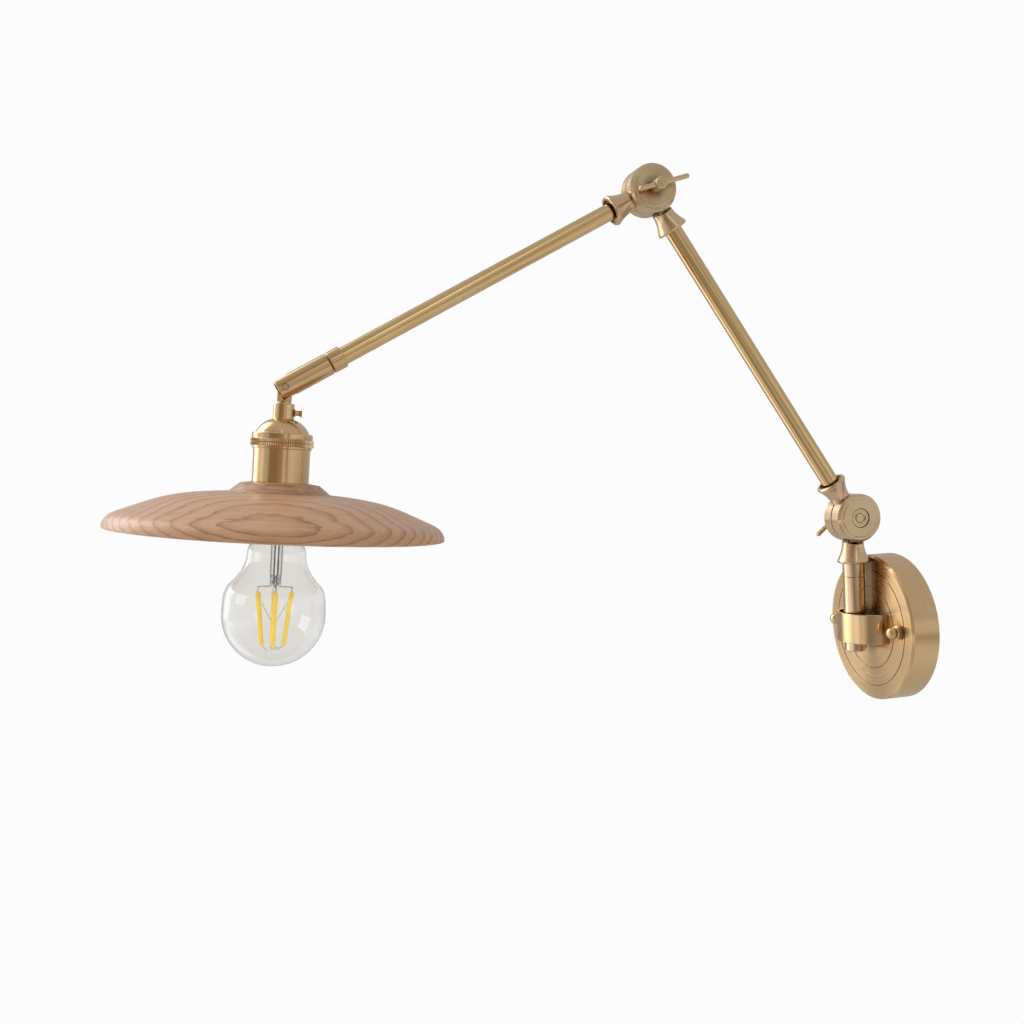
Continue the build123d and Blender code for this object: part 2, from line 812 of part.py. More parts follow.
def shade():
    hole = skirt_radius() + slip
    hub = shade_hub_d / 2
    step = shade_step_d / 2
    rim = shade_d / 2
    top = shell_end
    hub_edge = top + shade_hub_crown
    step_low = top + shade_step_height
    brim = top + shade_brim_drop
    lip = shade_lip_radius
    thick = shade_thickness
    floor = shade_floor
    shoulder = Vector(rim * shade_shoulder_share, top + shade_shoulder_drop)
    haunch = Vector(rim * shade_haunch_share, top + shade_haunch_drop)
    lip_end = Vector(rim - 2 * lip, brim + lip / 2)
    crown = Spline((step, step_low), shoulder, haunch, (rim, brim), tangents=[(1, 0.06), (0.12, 1)])
    under_haunch = haunch + Vector(-thick / 2, thick / 2)
    under_shoulder = shoulder + Vector(-thick / 3, thick)
    inside_ends = [(-0.3, -1), (-1, -0.06)]
    hollow = Spline(lip_end, under_haunch, under_shoulder, (step, floor), tangents=inside_ends)
    return lamp * turned_from(
        Line((hole, top), (shell_d / 2, top)),
        Line((shell_d / 2, top), (hub, hub_edge)),
        Line((hub, hub_edge), (step, step_low)),
        crown,
        ThreePointArc((rim, brim), (rim - lip, brim + lip), lip_end),
        hollow,
        Line((step, floor), (hole, floor)),
        Line((hole, floor), (hole, top)),
    )


def shade_ring():
    low = shade_floor
    nut = ring(shade_ring_d, 2 * (skirt_radius() + fit), low, low + shade_ring_height)
    cutter = Box(shade_ring_notch, shade_ring_notch, shade_ring_height)
    notch = Pos(shade_ring_d / 2, 0, low + shade_ring_height) * cutter
    for index in range(shade_ring_notches):
        nut -= Rot(0, 0, index * 360 / shade_ring_notches) * notch
    return lamp * nut


# Bulb


def glass_mouth(inset):
    """Radius of the glass where it enters the screw cap."""
    return bulb_cap_d / 2 - bulb_cap_wall - fit - inset


def glass_form(inset):
    """Solid of the bulb's glass outline, drawn in by a wall thickness."""
    radius = bulb_d / 2 - inset
    neck = bulb_neck_d / 2 - inset
    mouth = glass_mouth(inset)
    start = stem_base
    seat = start + glass_seat
    shoulder = Spline(
        (mouth, seat), (neck, cap_rim + bulb_neck_rise), (neck + bulb_throat[0], cap_rim + bulb_throat[1]),
        (radius * bulb_shoulder[0], bulb_centre - radius * bulb_shoulder[1]), (radius, bulb_centre),
        tangents=[(0.1, 1), (0, 1)],
    )
    arc_mid = (radius * sin(radians(45)), bulb_centre + radius * cos(radians(45)))
    return turned_from(
        Line((0, start), (mouth, start)),
        Line((mouth, start), (mouth, seat)),
        shoulder,
        ThreePointArc((radius, bulb_centre), arc_mid, (0, bulb_centre + radius)),
        Line((0, bulb_centre + radius), (0, start)),
    )


def bulb_glass():
    mouth_d = 2 * glass_mouth(bulb_wall)
    return lamp * (glass_form(0) - glass_form(bulb_wall) - rod(mouth_d, stem_base - 1, cap_rim))


def bulb_cap():
    """Screw cap with rounded ridges for its thread."""
    crest = bulb_cap_d / 2
    root = crest - bulb_thread_depth
    inner = root - bulb_cap_wall
    band_r = crest - bulb_cap_wall
    top = bulb_tip + bulb_contact_height + bulb_insulator_height
    band_top = cap_rim - bulb_cap_band
    pitch = (band_top - top - 2 * bulb_thread_end) / bulb_cap_threads
    corners = [(inner, top), (root, top)]
    for index in range(bulb_cap_threads):
        low = top + bulb_thread_end + index * pitch
        corners += [(root, low), (crest, low + pitch / 3)]
        corners += [(crest, low + pitch / 2), (root, low + pitch * 0.9)]
    corners += [(root, band_top), (crest, band_top + bulb_thread_depth / 2), (crest, cap_rim)]
    corners += [(band_r, cap_rim), (band_r, band_top + bulb_cap_wall), (inner, band_top + bulb_cap_wall)]
    return lamp * turned(*corners)


def bulb_insulator():
    top = bulb_tip + bulb_contact_height
    low = top + bulb_insulator_height
    outer = bulb_cap_d / 2 - bulb_thread_depth
    plug = outer - bulb_cap_wall - fit
    return lamp * turned(
        (0, top), (bulb_contact_d / 2 + bulb_cap_wall, top), (outer, low), (plug, low),
        (plug, low + bulb_cap_wall), (0, low + bulb_cap_wall),
    )


def bulb_contact():
    button_r = bulb_contact_d / 2
    base = bulb_tip + bulb_contact_height
    return lamp * turned(
        (0, bulb_tip), (button_r, bulb_tip, bulb_contact_height / 2), (button_r, base), (0, base),
    )


def bulb_stem():
    """Glass stem: a flare sealed to the neck, a tube, a flat pinch and a rod between the filaments."""
    flare = glass_mouth(bulb_wall) - fit
    tube = stem_d / 2
    base = stem_base
    bend = (tube + stem_flare_bend[0], base + stem_flare_bend[1])
    body = turned_from(
        Line((0, base), (flare, base)),
        Line((flare, base), (flare, base + bulb_wall)),
        ThreePointArc((flare, base + bulb_wall), bend, (tube, base + stem_flare_length)),
        Line((tube, base + stem_flare_length), (tube, stem_pinch)),
        Line((tube, stem_pinch), (0, stem_pinch)),
        Line((0, stem_pinch), (0, base)),
    )
    section = RectangleRounded(stem_pinch_thickness, stem_pinch_width, stem_pinch_thickness / 3)
    pinch = Pos(0, 0, stem_pinch) * extrude(section, stem_pinch_length)
    return lamp * (body + pinch + rod(stem_rod_d, stem_pinch_end, stem_rod_end))


def filament_points(index):
    """Upper and lower end of one filament, in the lamp's own frame."""
    angle = radians(index * 360 / filament_count)
    top = Vector(cos(angle), sin(angle), 0) * (filament_top_d / 2) + Vector(0, 0, filament_top)
    drop = (filament_top_d - filament_bottom_d) / 2
    fall = sqrt(filament_length ** 2 - drop ** 2)
    low = Vector(cos(angle), sin(angle), 0) * (filament_bottom_d / 2) + Vector(0, 0, filament_top + fall)
    return top, low


def bar_between(start, end, diameter):
    """Round bar between two points."""
    way = end - start
    return Plane(origin=start, z_dir=way) * rod(diameter, 0, way.length)


def bulb_filaments():
    bars = [bar_between(*filament_points(index), filament_d) for index in range(filament_count)]
    return lamp * Compound(bars)


def bulb_wires():
    """Leads from the pinch to the filaments' tops, links under their lower ends, and hooks from the rod."""
    wires = []
    lower_ends = []
    for index in range(filament_count):
        top, low = filament_points(index)
        away = Vector(top.X, top.Y, 0).normalized()
        lead = (top - low).normalized()
        tab_low = top + lead * fit
        tab_high = top + lead * filament_tab
        root = away * (stem_rod_d / 2 + filament_wire_d) + Vector(0, 0, stem_pinch_end + filament_wire_d)
        tab = bar_between(tab_low, tab_high, filament_wire_d) + Pos(*tab_high) * Sphere(filament_wire_d / 2)
        wires.append(tab + bar_between(root, tab_high, filament_wire_d))
        lower_ends.append(low - lead * (filament_wire_d / 2 + fit))
        grip = top + (low - top) * hook_share - away * (filament_d / 2 + hook_wire_d)
        foot = away * (stem_rod_d / 2 + hook_wire_d) + Vector(0, 0, filament_top + hook_height)
        wires.append(bar_between(foot, grip, hook_wire_d))
    for first in range(0, filament_count, 2):
        start = lower_ends[first]
        end = lower_ends[first + 1]
        middle = (start + end) / 2 + Vector(0, 0, filament_link_drop)
        bend = Pos(*middle) * Sphere(filament_wire_d / 2)
        arms = [bar_between(point, middle, filament_wire_d) for point in (start, end)]
        wires.append(arms[0] + bend + arms[1])
    return lamp * Compound(wires)


def main():
    os.makedirs("parts", exist_ok=True)
    up = Vector(0, 0, 1)
    rear = -hinge_way

    save("wall_plate", wall_plate())
    save("mounting_bar", mounting_bar())
    save("mounting_studs", mounting_studs())
    save("cap_nuts", cap_nuts())
    save("terminal_block", terminal_block())
    save("earth_screw", earth_screw())
    save("swivel_hoop", swivel_hoop())
    save("swivel_block", swivel_block())
    save("block_screws", block_screws())

    save("post_tube", post_tube())
    save("post_sleeve", post_sleeve())
    save("post_retaining_rings", post_retaining_rings())
    save("post_end_plug", post_end_plug())
    post_collar = (post_collar_neck_d, post_collar_lip_d, post_collar_reach, lower_tube_d)
    lower_arm_collar = (arm_collar_neck_d, arm_collar_lip_d, arm_collar_reach, lower_tube_d)
    upper_arm_collar = (arm_collar_neck_d, arm_collar_lip_d, arm_collar_reach, upper_tube_d)
    lower_rear = hinge_plane(lower_knuckle, -up, rear)
    save("lower_knuckle_rear", lower_rear * knuckle_half(lower_knuckle_d, post_collar, False))
    save("lower_friction_washer", hinge_plane(lower_knuckle, -up) * friction_washer(lower_knuckle_d))

    lower_front = hinge_plane(lower_knuckle, lower_arm_way)
    save("lower_knuckle_front", lower_front * knuckle_half(lower_knuckle_d, lower_arm_collar, True))
    save("lower_knuckle_nut", lower_front * knuckle_nut())
    save("lower_arm_tube", lower_arm_tube())
    upper_rear = hinge_plane(upper_knuckle, -lower_arm_way, rear)
    save("upper_knuckle_rear", upper_rear * knuckle_half(upper_knuckle_d, lower_arm_collar, True))
    save("upper_knuckle_nut", upper_rear * knuckle_nut())
    upper_middle = hinge_plane(upper_knuckle, -lower_arm_way)
    save("upper_friction_washer", upper_middle * friction_washer(upper_knuckle_d))

    lower_bar_way = Vector(0, -cos(radians(lower_bar_angle)), -sin(radians(lower_bar_angle)))
    upper_bar_way = Vector(0, cos(radians(upper_bar_angle)), sin(radians(upper_bar_angle)))
    lower_clamp = hinge_plane(lower_knuckle, lower_bar_way, rear)
    upper_clamp = hinge_plane(upper_knuckle, upper_bar_way)
    save("lower_clamp_screw", lower_clamp * clamp_screw())
    save("lower_clamp_bar", lower_clamp * clamp_bar())
    save("upper_clamp_screw", upper_clamp * clamp_screw())
    save("upper_clamp_bar", upper_clamp * clamp_bar())

    upper_front = hinge_plane(upper_knuckle, upper_arm_way)
    save("upper_knuckle_front", upper_front * knuckle_half(upper_knuckle_d, upper_arm_collar, False))
    save("upper_arm_tube", upper_arm_tube())
    save("ferrule_ring", ferrule_ring())
    save("ferrule_stud", ferrule_stud())
    save("ferrule_sleeve", ferrule_sleeve())
    save("tilt_pin", tilt_pin())

    save("tilt_tongue", tilt_tongue())
    save("holder_cap", holder_cap())
    save("holder_screw", holder_screw())
    save("knurled_ring", knurled_ring())
    save("socket_shell", socket_shell())
    save("socket_core", socket_core())
    save("socket_skirt", socket_skirt())
    save("thread_shell", thread_shell())
    save("centre_contact", centre_contact())
    save("shade", shade())
    save("shade_ring", shade_ring())

    save("bulb_glass", bulb_glass())
    save("bulb_cap", bulb_cap())
    save("bulb_insulator", bulb_insulator())
    save("bulb_contact", bulb_contact())
    save("bulb_stem", bulb_stem())
    save("bulb_filaments", bulb_filaments())
    save("bulb_wires", bulb_wires())


main()
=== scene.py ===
"""Swing arm wall lamp: satin brass, a turned wood shade and a clear filament bulb on a white ground.

Metres, in the frame of the solids: the origin is on the wall, +Z is up and -Y points out of the wall.
"""

import json
from math import cos, radians, sin

import bmesh
import bpy
from mathutils import Matrix, Vector


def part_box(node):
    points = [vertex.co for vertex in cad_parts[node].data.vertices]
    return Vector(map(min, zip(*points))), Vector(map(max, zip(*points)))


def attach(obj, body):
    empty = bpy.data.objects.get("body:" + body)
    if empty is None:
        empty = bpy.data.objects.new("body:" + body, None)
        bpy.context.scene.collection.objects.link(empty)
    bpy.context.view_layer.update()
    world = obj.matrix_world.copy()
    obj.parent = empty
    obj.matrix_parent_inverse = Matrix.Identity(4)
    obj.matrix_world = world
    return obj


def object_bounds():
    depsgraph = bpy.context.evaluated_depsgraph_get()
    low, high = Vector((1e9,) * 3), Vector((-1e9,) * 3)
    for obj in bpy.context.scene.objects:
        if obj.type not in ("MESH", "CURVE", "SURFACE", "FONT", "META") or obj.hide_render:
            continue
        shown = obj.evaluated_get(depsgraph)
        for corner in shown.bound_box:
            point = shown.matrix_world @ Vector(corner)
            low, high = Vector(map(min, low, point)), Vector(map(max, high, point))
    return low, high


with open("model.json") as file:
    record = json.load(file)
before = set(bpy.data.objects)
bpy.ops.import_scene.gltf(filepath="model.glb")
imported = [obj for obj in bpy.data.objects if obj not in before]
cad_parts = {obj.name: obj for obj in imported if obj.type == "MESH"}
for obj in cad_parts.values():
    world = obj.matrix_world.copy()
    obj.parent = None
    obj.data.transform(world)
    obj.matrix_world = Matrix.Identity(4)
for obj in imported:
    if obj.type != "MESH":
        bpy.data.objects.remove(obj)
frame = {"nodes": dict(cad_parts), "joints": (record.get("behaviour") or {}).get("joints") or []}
cad_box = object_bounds()

MM = 0.001

# Places and directions taken from the joints
joints = {joint["name"]: joint for joint in frame["joints"]}
post_foot = Vector(joints["post_swivel"]["pos_m"])
lower_knuckle = Vector(joints["lower_knuckle_turn"]["pos_m"])
upper_knuckle = Vector(joints["upper_knuckle_turn"]["pos_m"])
tilt_point = Vector(joints["head_tilt"]["pos_m"])
thumbscrew_point = Vector(joints["thumbscrew_turn"]["pos_m"])
hinge_way = Vector((1, 0, 0))
up_way = Vector((0, 0, 1))
out_way = Vector((0, -1, 0))
lower_arm_way = (upper_knuckle - lower_knuckle).normalized()
upper_arm_way = Vector(joints["ferrule_twist"]["axis"])
lamp_way = (thumbscrew_point - tilt_point).normalized()
thumbscrew_way = Vector(joints["thumbscrew_turn"]["axis"])
side_way = hinge_way.cross(lamp_way)

# Camera of the photograph
camera_place = Vector((658.4, -434.8, 129.45)) * MM
camera_yaw = radians(75.65)
camera_pitch = radians(3.25)
camera_roll = radians(-2.52)
camera_focal = 1100.0 / 1024.0
sensor_width = 36.0
clip_start = 0.01

# Surface colours, linear
brass_light = (0.80, 0.57, 0.32)
brass_deep = (0.66, 0.44, 0.22)
knuckle_light = (0.785, 0.587, 0.378)
knuckle_deep = (0.655, 0.465, 0.275)
knurl_light = (0.93, 0.73, 0.47)
knurl_deep = (0.83, 0.62, 0.37)
ferrule_light = (0.715, 0.507, 0.280)
ferrule_deep = (0.590, 0.392, 0.192)
tube_light = (0.80, 0.572, 0.292)
tube_deep = (0.66, 0.442, 0.200)
# Painted shade: dark brown laid on the brass in crevices, gaps and next to other parts
brass_painted_shade = (0.035, 0.020, 0.010)
# Painted shadow on the upper knuckle round its clamp screw
brass_painted_shadow = (0.17, 0.072, 0.030)
bulb_tint = (0.88, 0.875, 0.855)
stem_tint = (0.95, 0.95, 0.95)
glass_painted_edge = (0.10, 0.10, 0.098)
pinch_grey = (0.20, 0.195, 0.185)
phosphor_deep = (0.96, 0.63, 0.06)
phosphor_light = (1.0, 0.77, 0.12)
wood_line = (0.285, 0.127, 0.056)
wood_early = (0.42, 0.222, 0.110)
wood_body = (0.47, 0.258, 0.137)
wood_pale = (0.525, 0.300, 0.164)
pore_deep = (0.72, 0.66, 0.62)
pore_rim = (0.86, 0.83, 0.80)
pore_free = (1, 1, 1)

# Brass: brush marks round an axis, slow patina, and painted shade where little light reaches
brush_scale = 1500.0
brush_share = 0.35
brush_depth = 0.06 * MM
patina_scale = 45.0
patina_share = 0.65
roughness_swing = 0.25
lay_turn = 0.25
painted_shade_samples = 8

# Brown painted shadow round the upper knuckle's clamp screw: full up to the first radius, gone at the
# second
painted_shadow_radii = (4.0 * MM, 9.5 * MM)
painted_shadow_limit = 0.68
shadow_mottle_scale = 260.0
shadow_mottle_range = (0.2, 1.5)

# Wood grain: growth layers lie square to the brim's shoulder on the camera side
grain_lean = radians(28)
grain_turn = radians(-4.0)
first_layer = 1.75 * MM
layer_growth = 0.77
slow_stretch = 0.35
fine_stretch = 0.03
sway_scale = 38.0
sway_reach = 1.1 * MM
ripple_scale = 230.0
ripple_reach = 0.9 * MM
fade_scale = 70.0
fade_range = (-0.35, 0.85)
hub_radii = (30.0 * MM, 34.0 * MM)
hub_limit = 0.85
streak_scale = 480.0
streak_range = (0.78, 1.24)
fibre_scale = 2600.0
fibre_range = (0.88, 1.12)
fibre_depth = 0.08 * MM
pore_scale = 1400.0
pore_share = 0.55
cloud_scale = 16.0
cloud_range = (0.90, 1.10)

# Glass: where painted shade darkens it towards its edge, faint waves, and the flat pinch that ends the
# stem
bulb_edge = (0.82, 0.97)
stem_edge = (0.12, 0.48)
wave_scale = 60.0
wave_depth = 0.2 * MM
pinch_span = (110.0 * MM, 116.4 * MM)
pinch_scale = 620.0
pinch_range = (-0.7, 1.9)

# Filaments: thickness, grain and painted glow of the yellow coating
coating_depth = 0.3 * MM
coating_scale = 1800.0
coating_painted_glow = 0.30

# Depth of the fine tooth on coated and moulded surfaces
tooth_depth = 0.05 * MM

# Two lead wires sealed in the glass stem, measured from the tilt pin along the lamp
lead_span = (83.0 * MM, 115.6 * MM)
lead_spread = 0.75 * MM
lead_radius = 0.3 * MM
lead_sides = 16

# Edges of the solids
weld_reach = 0.002 * MM
eased_edge = 0.2 * MM
plate_edge = 0.08 * MM
ease_angle = radians(35)
split_angle = radians(30)

# Studio: runs of one tint, each with light levels by degrees of turn from the camera, its left negative
plain_light = (1.0, 1.0, 1.0)
warm_light = (1.0, 0.76, 0.53)
mild_light = (1.0, 0.89, 0.78)
high_bands = [
    (plain_light, [(-180, 0.55), (-144, 0.60), (-134, 4.2), (-104, 4.2), (-92, 0.70), (-60, 0.52)]),
    (warm_light, [(-42, 0.36), (-4, 0.38)]),
    (plain_light, [(8, 0.50), (11, 1.5), (15, 1.5), (18, 0.52), (70, 0.55), (180, 0.55)]),
]
upper_bands = [
    (plain_light, [
        (-180, 0.50), (-136, 0.50), (-126, 2.9), (-106, 2.9), (-94, 0.90), (-62, 0.60), (-46, 0.50),
    ]),
    (warm_light, [(-36, 0.28), (-6, 0.28)]),
    (plain_light, [
        (10, 0.48), (18, 0.72), (23, 0.72), (28, 0.42), (46, 0.42), (60, 0.64), (85, 0.52), (180, 0.50),
    ]),
]
eye_level_bands = [
    (plain_light, [
        (-180, 0.50), (-136, 0.50), (-129, 1.0), (-123, 2.6), (-106, 2.8), (-98, 1.4), (-92, 0.95),
        (-82, 0.78), (-72, 1.05), (-64, 0.70), (-58, 0.58), (-44, 0.54),
    ]),
    (warm_light, [(-36, 0.30), (-10, 0.29), (4, 0.36), (15, 0.41)]),
    (plain_light, [(21, 0.70), (26, 0.66)]),
    (warm_light, [(32, 0.38), (35, 0.38)]),
    (plain_light, [
        (41, 0.70), (55, 0.81), (77, 0.78), (97, 0.66), (108, 0.48), (121, 0.60), (180, 0.50),
    ]),
]
waist_bands = [
    (plain_light, [
        (-180, 0.50), (-136, 0.50), (-129, 1.0), (-123, 2.4), (-110, 2.4), (-103, 1.2), (-89, 0.92),
        (-77, 1.15), (-66, 0.95), (-58, 0.52),
    ]),
    (mild_light, [(-50, 0.30), (-42, 0.26), (-22, 0.26), (-11, 0.37)]),
    (plain_light, [
        (-1, 0.48), (9, 0.62), (20, 0.80), (31, 0.66), (40, 0.64), (55, 0.70), (77, 0.66), (97, 0.60),
        (108, 0.50), (180, 0.50),
    ]),
]
low_bands = [
    (plain_light, [
        (-180, 0.38), (-130, 0.36), (-122, 1.0), (-112, 1.8), (-98, 2.5), (-88, 1.7), (-78, 1.0),
        (-66, 1.3), (-58, 1.3), (-49, 0.85), (-40, 1.05), (-31, 0.66),
    ]),
    (mild_light, [(-22, 0.33), (-12, 0.27), (24, 0.27), (32, 0.34)]),
    (plain_light, [(42, 0.52), (53, 0.44)]),
    (mild_light, [(75, 0.30), (150, 0.28)]),
    (plain_light, [(180, 0.38)]),
]
deep_bands = [
    (plain_light, [
        (-180, 0.52), (-132, 0.55), (-124, 1.8), (-112, 1.8), (-100, 0.68), (-86, 0.62), (-66, 0.86),
        (-56, 0.84),
    ]),
    (mild_light, [(-43, 0.38), (-34, 0.33), (-12, 0.40)]),
    (plain_light, [(4, 0.60), (20, 0.74), (57, 0.70), (180, 0.52)]),
]

# Rings of bands by the sine of their height, from below to above
studio_rings = [
    (-0.42, deep_bands), (-0.155, low_bands), (-0.10, waist_bands), (-0.075, waist_bands),
    (-0.04, eye_level_bands), (0.12, eye_level_bands), (0.22, upper_bands), (0.50, high_bands),
]
studio_steep = (0.60, 0.97)
studio_ceiling = (0.55, 0.55, 0.55)
studio_floor = (0.55, 0.55, 0.55)
studio_radius = 20.0
studio_segments = (48, 24)

# Soft boxes: name, place from the lamp's middle (towards the camera, right, up), width, height, power
soft_boxes = [
    ("key_light", (0.45, -1.25, 0.6), 0.7, 1.2, 7.0),
    ("fill_light", (0.9, 0.9, 0.2), 0.3, 1.0, 2.0),
    ("top_light", (0.0, 0.0, 1.3), 1.4, 1.4, 2.5),
]

# White ground
ground_white = (0.975, 0.975, 0.975, 1)
floor_half = 6.0
floor_gap = 0.45
floor_scale = 3.0
floor_deep = (0.80, 0.80, 0.80)
floor_light = (0.84, 0.84, 0.84)


# Node trees


def new_material(name):
    material = bpy.data.materials.new(name)
    material.use_nodes = True
    material.node_tree.nodes.clear()
    return material, material.node_tree


def node(tree, kind, inputs=None, **settings):
    """Add a node. An input is a plain value or another node's output."""
    made = tree.nodes.new(kind)
    for key, value in settings.items():
        setattr(made, key, value)
    for key, value in (inputs or {}).items():
        if isinstance(value, bpy.types.NodeSocket):
            tree.links.new(value, made.inputs[key])
        else:
            made.inputs[key].default_value = value
    return made


def object_place(tree):
    return node(tree, "ShaderNodeTexCoord").outputs["Object"]


def calc(tree, operation, first, second=0.0):
    return node(tree, "ShaderNodeMath", {0: first, 1: second}, operation=operation).outputs[0]


def vector(tree, operation, first, second=(0, 0, 0)):
    made = node(tree, "ShaderNodeVectorMath", {0: first, 1: second}, operation=operation)
    return made.outputs["Value" if operation in ("DOT_PRODUCT", "LENGTH") else "Vector"]


def scaled(tree, first, factor):
    made = node(tree, "ShaderNodeVectorMath", {0: first, "Scale": factor}, operation="SCALE")
    return made.outputs["Vector"]


def noise(tree, place, scale, detail=2.0, roughness=0.5):
    made = node(tree, "ShaderNodeTexNoise", {
        "Vector": place, "Scale": scale, "Detail": detail, "Roughness": roughness,
    })
    return made.outputs["Fac"]


def spread(tree, value, low, high):
    """Map 0 to 1 onto low to high."""
    made = node(tree, "ShaderNodeMapRange", {"Value": value, "To Min": low, "To Max": high})
    return made.outputs["Result"]


def eased(tree, value, start, end, top=1.0):
    """Go smoothly from nought at start to top at end."""
    made = node(tree, "ShaderNodeMapRange", {
        "Value": value, "From Min": start, "From Max": end, "To Max": top,
    }, interpolation_type="SMOOTHSTEP")
    return made.outputs["Result"]


def blend_colours(tree, factor, first, second, blend_type="MIX"):
    """Mix two colours, each three plain numbers or another node's output."""
    colours = [
        colour if isinstance(colour, bpy.types.NodeSocket) else (*colour, 1)
        for colour in (first, second)
    ]
    made = node(
        tree, "ShaderNodeMix", {"Factor": factor, 6: colours[0], 7: colours[1]},
        data_type="RGBA", blend_type=blend_type,
    )
    return made.outputs[2]


def ramp(tree, factor, stops):
    made = node(tree, "ShaderNodeValToRGB", {"Fac": factor})
    elements = made.color_ramp.elements
    while len(elements) < len(stops):
        elements.new(0.5)
    for element, (position, colour) in zip(elements, stops):
        element.position = position
        element.color = (*colour, 1)
    return made.outputs["Color"]


def bump(tree, height, strength, distance):
    made = node(tree, "ShaderNodeBump", {"Height": height, "Strength": strength, "Distance": distance})
    return made.outputs["Normal"]


def mixed_output(tree, kind, factor, first, second):
    """Mix two shaders and send the result to an output node."""
    both = node(tree, "ShaderNodeMixShader", {0: factor, 1: first.outputs[0], 2: second.outputs[0]})
    node(tree, kind, {"Surface": both.outputs[0]})


def surface(material, tree, inputs):
    shader = node(tree, "ShaderNodeBsdfPrincipled", inputs)
    node(tree, "ShaderNodeOutputMaterial", {"Surface": shader.outputs[0]})
    return material


# Materials


def brass(
    name, origin, axis, roughness, light=brass_light, deep=brass_deep, lay_ratio=0.55, relief=0.06,
    painted_shade_limit=0.95, painted_shade_reach=3.0 * MM, painted_shade_range=(0.64, 0.32), with_painted_shadow=False,
):
    """Satin brass whose brush marks run round an axis."""
    material, tree = new_material(name)
    place = vector(tree, "SUBTRACT", object_place(tree), origin)
    along = vector(tree, "DOT_PRODUCT", place, axis)
    radial = vector(tree, "SUBTRACT", place, scaled(tree, axis, along))
    radius = vector(tree, "LENGTH", radial)
    lay = node(tree, "ShaderNodeCombineXYZ", {"X": radius, "Y": along}).outputs[0]
    world_axis = node(
        tree, "ShaderNodeVectorTransform", {0: axis},
        vector_type="VECTOR", convert_from="OBJECT", convert_to="WORLD",
    ).outputs[0]
    normal = node(tree, "ShaderNodeNewGeometry").outputs["Normal"]
    marks = noise(tree, lay, brush_scale, 3.0, 0.65)
    patina = noise(tree, place, patina_scale)
    tone = calc(
        tree, "ADD",
        calc(tree, "MULTIPLY", marks, brush_share), calc(tree, "MULTIPLY", patina, patina_share),
    )
    clean = blend_colours(tree, tone, deep, light)
    # Painted shadow: a mottled brown ring darkens the upper knuckle round its clamp screw.
    if with_painted_shadow:
        shadow_spot = eased(tree, radius, painted_shadow_radii[1], painted_shadow_radii[0], painted_shadow_limit)
        shadow_mottle = spread(tree, noise(tree, place, shadow_mottle_scale), *shadow_mottle_range)
        clean = blend_colours(tree, calc(tree, "MULTIPLY", shadow_spot, shadow_mottle), clean, brass_painted_shadow)
    # Painted shade: ambient occlusion darkens the brass in grooves, gaps and recesses and next to other
    # parts.
    openness = node(
        tree, "ShaderNodeAmbientOcclusion", {"Distance": painted_shade_reach}, samples=painted_shade_samples,
    ).outputs["AO"]
    painted_shade = eased(tree, openness, *painted_shade_range, painted_shade_limit)
    return surface(material, tree, {
        "Base Color": blend_colours(tree, painted_shade, clean, brass_painted_shade),
        "Metallic": 1.0,
        "Roughness": spread(
            tree, marks, roughness * (1 - roughness_swing), roughness * (1 + roughness_swing),
        ),
        "Anisotropic": lay_ratio,
        "Anisotropic Rotation": lay_turn,
        "Tangent": vector(tree, "CROSS_PRODUCT", world_axis, normal),
        "Normal": bump(tree, marks, relief, brush_depth),
    })


